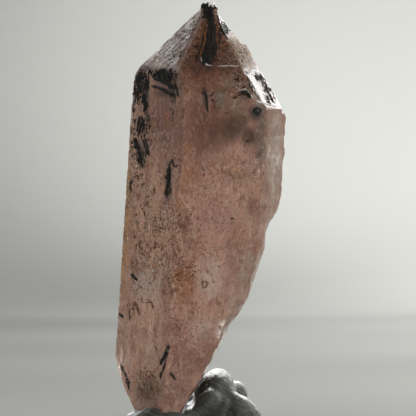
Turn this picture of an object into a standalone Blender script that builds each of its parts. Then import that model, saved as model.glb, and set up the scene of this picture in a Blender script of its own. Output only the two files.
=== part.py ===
# A stepped quartz point that stands in a lump of kneaded putty.
# Lengths are in millimetres here and become metres when a mesh is made.
# +Z is up, the broad prism face looks along -Y, and the origin is under the middle, at the foot.

import math
import random

import bmesh
import bpy
from mathutils import Matrix, Vector, noise

# Driving dimensions
MM = 0.001
LEAN = 3.7
TIP_SLOPE = 38.2
AXIS_FOOT = Vector((-1.6, 0.0, 5.0))
TIP_HEIGHT = 70.8
CRYSTAL_FOOT = 4.7
FIT_GAP = 0.3

# The six prism faces: the way each looks, in degrees from -Y towards +X, and its distance from the axis
PRISM_FACES = {
    "prism_left": (-55.0, 9.55),
    "prism_front": (5.0, 10.35),
    "prism_right": (65.0, 12.2),
    "prism_far_right": (125.0, 9.1),
    "prism_back": (185.0, 10.55),
    "prism_far_left": (245.0, 12.0),
}

# The six tip faces: the way each looks, and one point that it passes through
TIP_FACES = {
    "tip_left": (-55.0, (-4.1, -8.2, 59.9)),
    "tip_front": (5.0, (-4.1, -8.2, 59.9)),
    "tip_right": (65.0, (9.0, -9.75, 55.7)),
    "tip_far_right": (125.0, (7.9, 1.1, 64.56)),
    "tip_back": (185.0, (1.9, 1.9, TIP_HEIGHT)),
    "tip_far_left": (245.0, (-9.6, 0.13, 60.56)),
}

# Steeper and broken faces: the way each looks, and the edge that it hangs from, low end first
SLANTED_FACES = {
    "shoulder_chip": (98.0, ((13.8, -2.0, 52.0), (11.45, -2.0, 56.9))),
    "break_high_front": (88.0, ((7.8, -2.6, 23.5), (13.0, -2.2, 39.2))),
    "break_high_back": (124.0, ((7.8, -2.6, 23.5), (13.0, -2.2, 39.2))),
    "break_mid_front": (88.0, ((3.3, -2.8, 15.8), (7.8, -2.6, 23.5))),
    "break_mid_back": (128.0, ((3.3, -2.8, 15.8), (7.8, -2.6, 23.5))),
    "break_low_front": (88.0, ((-2.2, -3.4, 6.2), (2.3, -2.8, 13.4))),
    "break_low_back": (132.0, ((-2.2, -3.4, 6.2), (2.3, -2.8, 13.4))),
    "heel_high": (-87.0, ((-12.4, 1.0, 9.6), (-13.8, 1.0, 14.4))),
    "heel_low": (-93.0, ((-10.3, 0.6, 5.9), (-12.4, 1.0, 9.6))),
}

# The high flank at the far right, which steps cut into, and the riser beside the front ledge
FLANK = (122.0, ((13.4, -4.3, 53.5), (8.3, 1.6, 64.56)))
FRONT_RISER = (92.0, ((1.9, -7.2, 60.0), (1.1, 0.0, 69.6)))

# A small blunt crystal that tops the tip
KNOB_CENTRE = Vector((1.35, 0.75, 68.8))
KNOB_RADIUS = 1.25
KNOB_BLUNTING = 1.0
KNOB_ROOT = 2.0

# The block that planes cut a shape from, the point about which step floors tilt, and how far window
# cutters stand out of the face
BLOCK_SIZE = 160.0
STEP_PIVOT = (6.0, -4.0)
WINDOW_LIFT = 2.0

# Etch pits: how many, their half width and depth, and the strip of each face that they are strewn over
TIP_PITS = 16
PRISM_PITS = 10
PIT_SIZES = (0.25, 0.5)
PIT_DEPTHS = (0.16, 0.3)
TIP_PIT_HEIGHTS = (60.6, 67.6)
TIP_PIT_STRIP = {"left": -8.4, "slant": 1.02, "width": 4.2, "taper": 0.3}
PRISM_PIT_HEIGHTS = (40.0, 57.0)
PRISM_PIT_STRIP = (-9.8, -4.6)

QUARTZ_LOOK = ("quartz", (0.50, 0.34, 0.30, 1.0), 0.14)
PUTTY_LOOK = ("putty", (0.075, 0.078, 0.066, 1.0), 0.38)


def clear_scene():
    for thing in list(bpy.data.objects):
        bpy.data.objects.remove(thing, do_unlink=True)


def face_frame(point, normal):
    return {"point": Vector(point), "normal": normal.normalized()}


def grown_normal(azimuth, slope):
    """The normal of a crystal face: slope 0 is a prism face, and the whole crystal leans to +X."""
    turn, rise = math.radians(azimuth), math.radians(slope)
    upright = Vector((math.sin(turn) * math.cos(rise), -math.cos(turn) * math.cos(rise), math.sin(rise)))
    return Matrix.Rotation(math.radians(LEAN), 3, "Y") @ upright


def slanted_face(edge, azimuth):
    """The plane through an edge that looks this way."""
    low, high = Vector(edge[0]), Vector(edge[1])
    turn = math.radians(azimuth)
    normal = Vector((math.cos(turn), math.sin(turn), 0.0)).cross(high - low)
    if normal.dot(Vector((math.sin(turn), -math.cos(turn), 0.0))) < 0:
        normal.negate()
    return face_frame(low, normal)


def crystal_faces():
    faces = {}
    for name, (azimuth, distance) in PRISM_FACES.items():
        normal = grown_normal(azimuth, 0.0)
        faces[name] = face_frame(AXIS_FOOT + normal * distance, normal)
    for name, (azimuth, point) in TIP_FACES.items():
        faces[name] = face_frame(point, grown_normal(azimuth, TIP_SLOPE))
    for name, (azimuth, edge) in SLANTED_FACES.items():
        faces[name] = slanted_face(edge, azimuth)
    faces["foot"] = face_frame((0.0, 0.0, CRYSTAL_FOOT), Vector((0.08, -0.06, -1.0)))
    return faces


def moved(face, distance):
    return face_frame(face["point"] + face["normal"] * distance, face["normal"])


def flipped(face):
    return face_frame(face["point"], -face["normal"])


def floor_below(height, lean_x=0.0, lean_y=0.0):
    """A nearly level plane that faces down, so that a block kept inside it lies above."""
    tilt = Vector((math.tan(math.radians(lean_x)), math.tan(math.radians(lean_y)), 1.0))
    return face_frame((*STEP_PIVOT, height), -tilt)


def on_face(face, x, z, out=0.0):
    """The point of a face that is seen at this x and z from the front, moved out by so much."""
    normal, point = face["normal"], face["point"]
    y = point.y - (normal.x * (x - point.x) + normal.z * (z - point.z)) / normal.y
    return Vector((x, y, z)) + normal * out


def dropped_on(face, place, out=0.0):
    """The point of a face that lies nearest to this place, moved out by so much."""
    normal = face["normal"]
    return Vector(place) + normal * (out - (Vector(place) - face["point"]).dot(normal))


def mesh_object(name, bm, collection=None):
    """An object in metres from a mesh in millimetres."""
    bmesh.ops.recalc_face_normals(bm, faces=bm.faces)
    bmesh.ops.scale(bm, vec=(MM, MM, MM), verts=bm.verts)
    mesh = bpy.data.meshes.new(name)
    bm.to_mesh(mesh)
    bm.free()
    made = bpy.data.objects.new(name, mesh)
    (collection or bpy.context.scene.collection).objects.link(made)
    return made


def block_inside(faces):
    """The block that is left inside all of these planes."""
    bm = bmesh.new()
    bmesh.ops.create_cube(bm, size=BLOCK_SIZE, matrix=Matrix.Translation((0.0, 0.0, BLOCK_SIZE / 4)))
    for face in faces:
        cut = bmesh.ops.bisect_plane(
            bm,
            geom=bm.verts[:] + bm.edges[:] + bm.faces[:],
            dist=1e-5,
            plane_co=face["point"],
            plane_no=face["normal"],
            clear_outer=True,
        )
        rim = [part for part in cut["geom_cut"] if isinstance(part, bmesh.types.BMEdge)]
        if rim:
            bmesh.ops.contextual_create(bm, geom=rim)
    bmesh.ops.dissolve_limit(bm, angle_limit=1e-4, verts=bm.verts, edges=bm.edges)
    return bm


def cutter_group(name):
    made = bpy.data.collections.new(name)
    made.hide_render = True
    bpy.context.scene.collection.children.link(made)
    return made


def as_cutter(made):
    made.hide_render = True
    made.display_type = "WIRE"
    return made


# Growth steps: above each floor the face stands further in
def add_steps(faces, group):
    riser, flank = slanted_face(FRONT_RISER[1], FRONT_RISER[0]), slanted_face(FLANK[1], FLANK[0])
    steps = (
        ("step_front", floor_below(60.4, 0.6, 2.0), [moved(faces["tip_front"], -0.38), riser]),
        ("step_right", floor_below(60.1, -1.0, 3.0), [moved(faces["tip_right"], -0.32)]),
        ("step_right_low", floor_below(56.6, 4.0, 0.0), [moved(faces["tip_right"], -0.12)]),
        ("step_flank", floor_below(53.3, 2.0, -3.0), [flank]),
        ("step_flank_low", floor_below(57.2, 2.0, 3.0), [moved(flank, -0.22)]),
        ("step_flank_high", floor_below(61.6, 2.0, 2.0), [moved(flank, -0.4)]),
        ("step_tip_right", floor_below(64.56, 1.0, 4.0), [moved(faces["tip_far_right"], -0.65)]),
        ("step_tip_front", floor_below(64.56, 1.0, 4.0), [moved(faces["tip_right"], -0.65)]),
        ("step_tip_back", floor_below(62.2, -3.0, 3.0), [moved(faces["tip_back"], -0.4)]),
        ("step_far_left", floor_below(53.6, 4.0, 2.0), [moved(faces["prism_far_left"], -0.22)]),
        ("step_back_high", floor_below(53.8, -4.0, 3.0), [moved(faces["prism_back"], -0.9)]),
        ("step_back_mid", floor_below(47.2, 3.0, 2.0), [moved(faces["prism_back"], -0.5)]),
        ("step_back_low", floor_below(30.4, -3.0, 2.0), [moved(faces["prism_back"], -0.2)]),
        ("step_far_right", floor_below(47.8, 2.0, 3.0), [moved(faces["prism_far_right"], -0.5)]),
    )
    for name, floor, inner in steps:
        sides = [flipped(face) for face in inner]
        as_cutter(mesh_object(name, block_inside([floor] + sides), group))


# Sunken growth windows: outlines as seen from the front, in x and z
def add_windows(faces, group):
    front, tip, back = faces["prism_front"], faces["tip_front"], faces["prism_back"]
    windows = (
        ("pane_front", front, 0.2, ((4.2, 43.0), (6.6, 42.2), (9.8, 43.9), (10.1, 50.2), (4.6, 51.4))),
        ("pane_front_inner", front, 0.45, ((5.4, 44.6), (8.9, 45.2), (9.2, 49.0), (5.6, 49.6))),
        ("window_front", front, 0.35, ((2.6, 53.9), (4.9, 53.7), (4.9, 55.3), (2.7, 55.5))),
        ("window_tip", tip, 0.3, ((5.4, 57.0), (7.2, 56.8), (6.9, 58.3), (5.6, 58.6))),
        ("pane_back", back, 0.7, ((-5.9, 26.0), (-1.0, 24.2), (2.4, 27.0), (3.4, 41.6), (-4.4, 43.8))),
        ("pane_back_inner", back, 1.4, ((-4.2, 29.0), (-0.9, 27.6), (1.1, 30.0), (1.6, 38.4), (-3.2, 39.8))),
    )
    for name, face, depth, outline in windows:
        bm = bmesh.new()
        floor = bm.faces.new([bm.verts.new(on_face(face, x, z, -depth)) for x, z in outline])
        swept = bmesh.ops.extrude_face_region(bm, geom=[floor])["geom"]
        lifted = [part for part in swept if isinstance(part, bmesh.types.BMVert)]
        bmesh.ops.translate(bm, verts=lifted, vec=face["normal"] * (depth + WINDOW_LIFT))
        as_cutter(mesh_object(name, bm, group))


# Shell-shaped chips of the break and its rim: face, a place near it, ball radius, depth, upright stretch
def add_chips(faces, group):
    chips = (
        ("break_high_front", (12.9, -8.4, 38.6), 5.0, 0.4, 1.0),
        ("break_high_front", (11.5, -9.6, 34.6), 6.0, 0.85, 1.0),
        ("break_high_front", (11.3, -6.0, 34.0), 6.0, 0.85, 1.0),
        ("break_high_front", (11.4, -2.4, 34.4), 6.0, 0.85, 1.0),
        ("break_high_front", (9.9, -9.2, 30.2), 6.0, 0.5, 1.0),
        ("break_high_front", (8.9, -9.6, 26.6), 4.0, 0.4, 1.0),
        ("break_mid_front", (6.4, -9.2, 21.2), 5.0, 0.45, 1.0),
        ("break_mid_front", (4.5, -9.2, 17.9), 6.0, 0.75, 1.2),
        ("break_mid_front", (5.1, -6.0, 18.8), 6.0, 0.55, 1.0),
        ("break_mid_front", (5.1, -2.6, 18.9), 6.0, 0.55, 1.0),
        ("break_low_front", (1.1, -9.4, 11.8), 5.0, 0.45, 1.0),
        ("break_low_front", (-0.9, -8.6, 8.6), 4.0, 0.4, 1.0),
        ("break_high_back", (8.0, 3.0, 35.0), 9.0, 0.9, 1.2),
        ("break_high_back", (5.0, 3.9, 28.0), 9.0, 0.9, 1.0),
        ("break_mid_back", (2.0, 2.1, 20.0), 8.0, 0.8, 1.0),
        ("break_low_back", (-3.0, 1.2, 11.0), 8.0, 0.6, 1.0),
        ("heel_high", (-12.9, -4.4, 12.4), 6.0, 0.3, 1.0),
        ("heel_low", (-11.6, -5.0, 8.2), 5.0, 0.3, 1.0),
        ("prism_right", (13.0, -2.8, 42.4), 9.0, 0.35, 1.5),
        ("tip_left", (-4.2, -0.3, 65.2), 2.2, 0.25, 1.0),
    )
    for number, (face, place, radius, depth, stretch) in enumerate(chips):
        bm = bmesh.new()
        bmesh.ops.create_icosphere(bm, subdivisions=4, radius=radius)
        bmesh.ops.scale(bm, vec=(1.0, 1.0, stretch), verts=bm.verts)
        middle = dropped_on(faces[face], place, radius - depth)
        bmesh.ops.translate(bm, verts=bm.verts, vec=middle)
        as_cutter(mesh_object(f"chip_{number}", bm, group))


# Three-sided etch pits, strewn over the frosted tip face and the prism face below it
def add_pits(faces, group):
    draw = random.Random(11)
    tip, left = faces["tip_left"], faces["prism_left"]
    places = []
    for _ in range(TIP_PITS):
        z = draw.uniform(*TIP_PIT_HEIGHTS)
        climb = z - TIP_PIT_HEIGHTS[0]
        rim = TIP_PIT_STRIP["left"] + climb * TIP_PIT_STRIP["slant"]
        width = TIP_PIT_STRIP["width"] - climb * TIP_PIT_STRIP["taper"]
        places.append((tip, draw.uniform(rim, rim + width), z))
    for _ in range(PRISM_PITS):
        places.append((left, draw.uniform(*PRISM_PIT_STRIP), draw.uniform(*PRISM_PIT_HEIGHTS)))
    for number, (face, x, z) in enumerate(places):
        size, depth = draw.uniform(*PIT_SIZES), draw.uniform(*PIT_DEPTHS)
        bm = bmesh.new()
        bmesh.ops.create_cone(
            bm, cap_ends=True, segments=3, radius1=size * 2, radius2=0.02, depth=depth * 4
        )
        point_in = face["normal"].to_track_quat("-Z", "Y").to_matrix().to_4x4()
        spin = Matrix.Rotation(draw.uniform(0.0, 2.0), 4, "Z")
        place = Matrix.Translation(on_face(face, x, z, depth))
        bmesh.ops.transform(bm, matrix=place @ point_in @ spin, verts=bm.verts)
        as_cutter(mesh_object(f"pit_{number}", bm, group))


def add_boolean(target, operation, group):
    step = target.modifiers.new(group.name, "BOOLEAN")
    step.operation = operation
    step.operand_type = "COLLECTION"
    step.collection = group
    step.solver = "EXACT"


def give_material(made, look):
    name, colour, roughness = look
    material = bpy.data.materials.new(name)
    material.use_nodes = True
    shader = material.node_tree.nodes["Principled BSDF"]
    shader.inputs["Base Color"].default_value = colour
    shader.inputs["Roughness"].default_value = roughness
    shader.inputs["Metallic"].default_value = 0.0
    made.data.materials.append(material)


# The small crystal on the tip, with the same faces as the large one
def add_knob(group):
    sides = [grown_normal(azimuth, 0.0) for azimuth, _ in PRISM_FACES.values()]
    slopes = [grown_normal(azimuth, TIP_SLOPE) for azimuth, _ in TIP_FACES.values()]
    walls = [face_frame(KNOB_CENTRE + side * KNOB_RADIUS, side) for side in sides]
    apex = Vector((KNOB_CENTRE.x + 0.1, KNOB_CENTRE.y, TIP_HEIGHT + KNOB_BLUNTING))
    walls += [face_frame(apex, slope) for slope in slopes]
    walls.append(face_frame((KNOB_CENTRE.x, KNOB_CENTRE.y, TIP_HEIGHT), Vector((0.0, 0.0, 1.0))))
    walls.append(face_frame(KNOB_CENTRE - Vector((0.0, 0.0, KNOB_ROOT)), Vector((0.0, 0.0, -1.0))))
    as_cutter(mesh_object("tip_knob", block_inside(walls), group))


def make_crystal(faces):
    knobs = cutter_group("crystal_knobs")
    add_knob(knobs)
    cuts = cutter_group("crystal_cuts")
    add_steps(faces, cuts)
    add_windows(faces, cuts)
    add_chips(faces, cuts)
    add_pits(faces, cuts)
    crystal = mesh_object("quartz_point", block_inside(faces.values()))
    add_boolean(crystal, "DIFFERENCE", cuts)
    add_boolean(crystal, "UNION", knobs)
    give_material(crystal, QUARTZ_LOOK)


# The putty's skin: the grid that joins its lobes, how far their creases soften, and the share kept
SKIN_GRID = 0.5
SKIN_SOFTENING = 7
SKIN_KEPT = 0.34

# The waves that fingers leave in it: how many to a millimetre, and how high
SLOW_WAVE = (0.24, 0.7)
QUICK_WAVE = (0.6, 0.25)

# The block that cuts it flat below
GROUND_SIZE = 60.0

# Lobes of the putty: centre and half sizes, then the turns about Y and Z in degrees
PUTTY_CORE = ((-1.2, 0.4, 1.6), (12.0, 9.8, 5.2), 0.0, 0.0)
PUTTY_LOBES = {
    "lobe_left": ((-6.6, -3.6, 3.2), (6.3, 5.6, 3.2), -3.0, 10.0),
    "lobe_front_roll": ((1.5, -6.6, 6.3), (2.4, 3.6, 2.9), 18.0, -8.0),
    "lobe_front_low": ((0.6, -6.8, 2.6), (4.6, 3.4, 2.6), 4.0, 6.0),
    "lobe_front_lip": ((-5.4, -9.0, 3.5), (6.3, 3.2, 3.2), 2.0, 4.0),
    "lobe_upper_fold": ((2.5, -1.2, 8.4), (3.2, 5.4, 3.8), 28.0, 4.0),
    "lobe_right": ((6.0, -2.6, 4.2), (3.6, 5.8, 4.3), -12.0, 8.0),
    "lobe_back": ((-2.6, 8.05, 4.0), (8.4, 4.0, 4.2), 4.0, -6.0),
    "lobe_back_right": ((4.2, 5.0, 6.2), (3.8, 4.2, 4.4), 14.0, 24.0),
}


def putty_lobe(name, lobe, group=None):
    """A ball squeezed to the lobe's size, with the slow waves that fingers leave."""
    centre, halves, lean, turn = lobe
    bm = bmesh.new()
    bmesh.ops.create_uvsphere(bm, u_segments=28, v_segments=16, radius=1.0)
    shape = (
        Matrix.Translation(centre)
        @ Matrix.Rotation(math.radians(turn), 4, "Z")
        @ Matrix.Rotation(math.radians(lean), 4, "Y")
        @ Matrix.Diagonal((*halves, 1.0))
    )
    bmesh.ops.transform(bm, matrix=shape, verts=bm.verts)
    for v in bm.verts:
        wave = sum(noise.noise(v.co * often) * height for often, height in (SLOW_WAVE, QUICK_WAVE))
        v.co += (v.co - Vector(centre)).normalized() * wave
    return mesh_object(name, bm, group)


def make_putty(faces):
    """One kneaded lump: lobes joined, cut flat below, and hollowed for the crystal's end."""
    lobes = cutter_group("putty_lobes")
    for name, lobe in PUTTY_LOBES.items():
        as_cutter(putty_lobe(name, lobe, lobes))
    hollows = cutter_group("putty_hollows")
    below = bmesh.new()
    bmesh.ops.create_cube(below, size=GROUND_SIZE, matrix=Matrix.Translation((0.0, 0.0, -GROUND_SIZE / 2)))
    as_cutter(mesh_object("below_the_foot", below, hollows))
    socket = block_inside(moved(face, FIT_GAP) for face in faces.values())
    as_cutter(mesh_object("socket", socket, hollows))
    putty = putty_lobe("mounting_putty", PUTTY_CORE)
    add_boolean(putty, "UNION", lobes)
    skin = putty.modifiers.new("one_skin", "REMESH")
    skin.mode = "VOXEL"
    skin.voxel_size = SKIN_GRID * MM
    soften = putty.modifiers.new("soften", "SMOOTH")
    soften.iterations = SKIN_SOFTENING
    fewer = putty.modifiers.new("fewer_faces", "DECIMATE")
    fewer.ratio = SKIN_KEPT
    fewer.use_collapse_triangulate = True
    add_boolean(putty, "DIFFERENCE", hollows)
    give_material(putty, PUTTY_LOOK)


def main():
    clear_scene()
    faces = crystal_faces()
    make_crystal(faces)
    make_putty(faces)


main()
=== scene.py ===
# The stepped quartz point: a clear skin, cloudy veils and phantoms under it, dark sprays, a fluid cavity,
# and the putty that holds it
import math
import random

import bmesh
import bpy
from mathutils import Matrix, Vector, noise
from mathutils.bvhtree import BVHTree


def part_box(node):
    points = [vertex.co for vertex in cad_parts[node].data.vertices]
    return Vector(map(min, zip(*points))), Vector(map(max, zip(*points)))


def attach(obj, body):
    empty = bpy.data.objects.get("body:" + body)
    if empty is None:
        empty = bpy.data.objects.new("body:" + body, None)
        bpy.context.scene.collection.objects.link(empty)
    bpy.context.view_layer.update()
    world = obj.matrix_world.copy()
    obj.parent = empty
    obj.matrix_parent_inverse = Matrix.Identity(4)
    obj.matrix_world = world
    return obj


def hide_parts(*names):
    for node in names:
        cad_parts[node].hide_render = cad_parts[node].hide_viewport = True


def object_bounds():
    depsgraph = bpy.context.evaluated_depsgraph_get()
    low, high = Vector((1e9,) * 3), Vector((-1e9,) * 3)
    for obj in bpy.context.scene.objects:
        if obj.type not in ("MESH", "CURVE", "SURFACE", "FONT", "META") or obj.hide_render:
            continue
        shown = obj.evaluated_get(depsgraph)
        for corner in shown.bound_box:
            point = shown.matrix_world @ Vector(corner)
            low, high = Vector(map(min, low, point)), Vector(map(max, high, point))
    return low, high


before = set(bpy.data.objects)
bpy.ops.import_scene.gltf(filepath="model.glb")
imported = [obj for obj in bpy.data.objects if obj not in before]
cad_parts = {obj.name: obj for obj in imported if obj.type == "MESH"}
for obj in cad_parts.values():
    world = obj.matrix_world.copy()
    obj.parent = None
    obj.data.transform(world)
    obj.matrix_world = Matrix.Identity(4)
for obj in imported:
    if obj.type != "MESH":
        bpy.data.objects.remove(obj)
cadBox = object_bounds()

# Lengths are in millimetres until a piece is finished, and pixels are the photo's own
units = {"metre": 0.001, "millimetre": 1000.0}
photo = {"middleX": 200.0, "topHeight": 71.12, "pixel": 0.16, "frame": 416}


def photoPlace(px, py):
    return (px - photo["middleX"]) * photo["pixel"], photo["topHeight"] - py * photo["pixel"]


# Wraps a socket, so that shader maths reads as plain Python
class Wire:
    def __init__(self, finish, socket):
        self.finish, self.socket = finish, socket

    def sum(self, operation, *values):
        return self.finish.node("ShaderNodeMath", {"operation": operation}, dict(enumerate(values)))

    def __add__(self, other):
        return self.sum("ADD", self, other)

    def __radd__(self, other):
        return self.sum("ADD", other, self)

    def __sub__(self, other):
        return self.sum("SUBTRACT", self, other)

    def __rsub__(self, other):
        return self.sum("SUBTRACT", other, self)

    def __mul__(self, other):
        return self.sum("MULTIPLY", self, other)

    def __rmul__(self, other):
        return self.sum("MULTIPLY", other, self)

    def __truediv__(self, other):
        return self.sum("DIVIDE", self, other)

    def __rtruediv__(self, other):
        return self.sum("DIVIDE", other, self)

    def above(self, other):
        return self.sum("MAXIMUM", self, other)

    def below(self, other):
        return self.sum("MINIMUM", self, other)


# The node tree of a material or of the sky; every node comes from node().
# Places are the object's own in millimetres, or those of an attribute, and ways in the sky
class Finish:
    def __init__(self, name, attribute=None, sky=None):
        self.owner = sky or bpy.data.materials.new(name)
        self.owner.use_nodes = True
        self.tree = self.owner.node_tree
        self.tree.nodes.clear()
        if sky:
            self.at = self.node("ShaderNodeTexCoord", output="Generated")
        elif attribute:
            self.at = self.node("ShaderNodeAttribute", {"attribute_name": attribute}, output="Vector")
        else:
            place = self.node("ShaderNodeTexCoord", output="Object")
            self.at = self.vector("SCALE", place, scale=units["millimetre"])

    def node(self, kind, settings=None, inputs=None, output=0):
        made = self.tree.nodes.new(kind)
        for name, value in (settings or {}).items():
            setattr(made, name, value)
        for socket, value in (inputs or {}).items():
            if isinstance(value, Wire):
                self.tree.links.new(value.socket, made.inputs[socket])
            else:
                made.inputs[socket].default_value = value
        return Wire(self, made.outputs[output]) if len(made.outputs) else None

    def vector(self, operation, first, second=None, scale=None):
        values = {0: first}
        if second is not None:
            values[1] = second
        if scale is not None:
            values["Scale"] = scale
        output = 1 if operation in ("LENGTH", "DOT_PRODUCT") else 0
        return self.node("ShaderNodeVectorMath", {"operation": operation}, values, output)

    def axis(self, name):
        return self.node("ShaderNodeSeparateXYZ", {}, {0: self.at}, name)

    def mix(self, factor, first, second):
        first = first if isinstance(first, Wire) else (*first, 1.0)
        second = second if isinstance(second, Wire) else (*second, 1.0)
        return self.node("ShaderNodeMix", {"data_type": "RGBA"}, {0: factor, 6: first, 7: second}, 2)

    def shaderMix(self, factor, first, second):
        return self.node("ShaderNodeMixShader", {}, {0: factor, 1: first, 2: second})

    def principled(self, values):
        return self.node("ShaderNodeBsdfPrincipled", {}, values)

    def step(self, value, low, high, start=0.0, end=1.0):
        settings = {"interpolation_type": "SMOOTHSTEP"}
        values = {"Value": value, "From Min": low, "From Max": high, "To Min": start, "To Max": end}
        return self.node("ShaderNodeMapRange", settings, values)

    # Noise of so many waves to a millimetre along X, Y and Z, after a turn about Y
    def grain(self, waves, detail=3.0, roughness=0.55, distortion=0.0, turn=0.0, shift=0.0):
        mapping = {
            "Vector": self.at,
            "Scale": tuple(1.0 / wave for wave in waves),
            "Rotation": (0.0, math.radians(turn), 0.0),
            "Location": (shift, shift, shift),
        }
        place = self.node("ShaderNodeMapping", {"vector_type": "TEXTURE"}, mapping)
        values = {"Vector": place, "Scale": 1.0, "Detail": detail, "Roughness": roughness}
        return self.node("ShaderNodeTexNoise", {}, {**values, "Distortion": distortion})

    # 1 in an ellipsoid and 0 beyond it, with a soft and ragged rim
    def blob(self, middle, halves, ragged):
        away = self.vector("SUBTRACT", self.at, middle)
        away = self.vector("MULTIPLY", away, tuple(1.0 / half for half in halves))
        reach = self.vector("LENGTH", away) + ragged
        return self.step(reach, 1.3, 0.4)

    # 1 near a plane and 0 further from it than the thickness
    def sheet(self, point, normal, thickness):
        away = self.vector("SUBTRACT", self.at, point)
        height = self.vector("DOT_PRODUCT", away, normal)
        return self.step(height.sum("ABSOLUTE", height), thickness, thickness * 0.4)

    def bump(self, height, strength, depth):
        values = {"Height": height, "Strength": strength, "Distance": depth * units["metre"]}
        return self.node("ShaderNodeBump", {}, values)

    def close(self, surface, volume=None):
        links = {"Surface": surface}
        if volume is not None:
            links["Volume"] = volume
        self.node("ShaderNodeOutputMaterial", {}, links)
        return self.owner


# Camera, light and the round studio
lookX, lookZ = photoPlace(photo["frame"] / 2, photo["frame"] / 2)
view = {"lookAt": (lookX, 0.0, lookZ), "distance": 900.0, "sensor": 36.0, "near": 0.05, "far": 20.0}


def makeCamera():
    lens = bpy.data.cameras.new("camera")
    lens.sensor_width = view["sensor"]
    lens.lens = view["sensor"] * view["distance"] / (photo["frame"] * photo["pixel"])
    lens.clip_start, lens.clip_end = view["near"], view["far"]
    camera = bpy.data.objects.new("camera", lens)
    middle = Vector(view["lookAt"])
    camera.location = (middle - Vector((0.0, view["distance"], 0.0))) * units["metre"]
    camera.rotation_euler = (math.radians(90.0), 0.0, 0.0)
    bpy.context.scene.collection.objects.link(camera)
    bpy.context.scene.camera = camera


# Lamps: the way each stands from the crystal, its width and height in metres, its brightness, and its beam
# in degrees
lampFar = 2.2
lamps = {
    "windowRight": {"way": (0.50, 0.78, 0.38), "wide": 0.9, "tall": 0.9, "bright": 3.0, "beam": 60},
    "windowLeft": {"way": (-0.55, 0.59, 0.59), "wide": 1.0, "tall": 1.0, "bright": 1.3, "beam": 60},
    "windowBack": {"way": (-0.08, 0.85, 0.52), "wide": 1.8, "tall": 0.6, "bright": 24.0, "beam": 80},
    "windowFront": {"way": (-0.05, -0.90, 0.42), "wide": 1.0, "tall": 1.0, "bright": 6.0, "beam": 60},
    "windowSide": {"way": (0.70, -0.10, 0.70), "wide": 0.8, "tall": 0.8, "bright": 9.0, "beam": 60},
}
lampColour = (1.0, 1.0, 0.99)
# Pools of light on the floor and its sweep, behind the crystal
pools = {
    "poolRight": {"from": (0.16, -0.2, 0.75), "to": (0.19, 1.66, 0.10), "power": 150.0, "cone": 22.0},
    "poolWide": {"from": (-0.1, -0.3, 1.0), "to": (-0.05, 1.85, 0.22), "power": 60.0, "cone": 36.0},
}
# More pools in a row, each straight down: how far back it is and how strong
row = {"x": 0.24, "high": 0.8, "cone": 47.0}
rowPools = {
    "poolNear": (0.15, 18.0), "poolMiddle": (0.45, 20.0), "poolFar": (0.75, 26.0), "poolSweep": (1.08, 30.0)
}
for name, (back, power) in rowPools.items():
    start, foot = (row["x"], back, row["high"]), (row["x"], back, 0.0)
    pools[name] = {"from": start, "to": foot, "power": power, "cone": row["cone"]}
poolSoft = 0.05
room = {"floor": 1.15, "sweep": 1.2, "climb": 40.0, "steps": 96, "arc": 16, "colour": (0.46, 0.465, 0.44)}
# The sky is bright low down behind the crystal and dim elsewhere
sky = {"dim": 0.08, "bright": 3.0, "behind": (0.1, 0.8), "low": (0.70, 0.25), "colour": (0.95, 0.97, 1.0)}


def putLight(name, light, place, way):
    stand = bpy.data.objects.new(name, light)
    stand.location = place
    stand.rotation_euler = way.to_track_quat("Z", "Y").to_euler()
    bpy.context.scene.collection.objects.link(stand)


def makeLights():
    middle = Vector(view["lookAt"]) * units["metre"]
    for name, lamp in lamps.items():
        light = bpy.data.lights.new(name, "AREA")
        light.shape = "RECTANGLE"
        light.size, light.size_y = lamp["wide"], lamp["tall"]
        half = math.radians(lamp["beam"] / 2)
        light.spread = half * 2
        # The power that gives this brightness, whatever the beam
        light.energy = lamp["bright"] * math.pi * lamp["wide"] * lamp["tall"] * (1 - half / math.tan(half))
        light.color = lampColour
        way = Vector(lamp["way"]).normalized()
        putLight(name, light, middle + way * lampFar, way)
    for name, pool in pools.items():
        light = bpy.data.lights.new(name, "SPOT")
        light.energy = pool["power"]
        light.spot_size = math.radians(pool["cone"])
        light.spot_blend = 1.0
        light.shadow_soft_size = poolSoft
        putLight(name, light, pool["from"], Vector(pool["from"]) - Vector(pool["to"]))


def makeSky():
    world = bpy.data.worlds.new("studio")
    air = Finish("studio", sky=world)
    strength = sky["bright"]
    for axis, limits in (("Y", sky["behind"]), ("Z", sky["low"])):
        strength = air.step(air.axis(axis), *limits, sky["dim"], strength)
    light = air.node("ShaderNodeBackground", {}, {"Color": (*sky["colour"], 1.0), "Strength": strength})
    air.node("ShaderNodeOutputWorld", {}, {"Surface": light})
    bpy.context.scene.world = world


# A pale floor that sweeps up into a wall all the way round
def makeRoom():
    bm = bmesh.new()
    places = [(0.0, 0.0), (room["floor"], 0.0)]
    for number in range(1, room["arc"] + 1):
        turn = math.radians(room["climb"]) * number / room["arc"]
        places.append((room["floor"] + room["sweep"] * math.sin(turn), room["sweep"] * (1 - math.cos(turn))))
    line = [bm.verts.new((x, 0.0, z)) for x, z in places]
    edges = [bm.edges.new(pair) for pair in zip(line, line[1:])]
    wholeTurn = {"cent": (0, 0, 0), "axis": (0, 0, 1), "angle": math.tau, "steps": room["steps"]}
    bmesh.ops.spin(bm, geom=line + edges, use_merge=True, **wholeTurn)
    bmesh.ops.remove_doubles(bm, verts=bm.verts, dist=0.0001)
    bmesh.ops.recalc_face_normals(bm, faces=bm.faces)
    mesh = bpy.data.meshes.new("studioFloor")
    bm.to_mesh(mesh)
    bm.free()
    mesh.shade_smooth()
    floor = bpy.data.objects.new("studioFloor", mesh)
    bpy.context.scene.collection.objects.link(floor)
    finish = Finish("paper")
    paper = finish.node("ShaderNodeBsdfDiffuse", {}, {"Color": (*room["colour"], 1.0), "Roughness": 1.0})
    mesh.materials.append(finish.close(paper))


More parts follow.
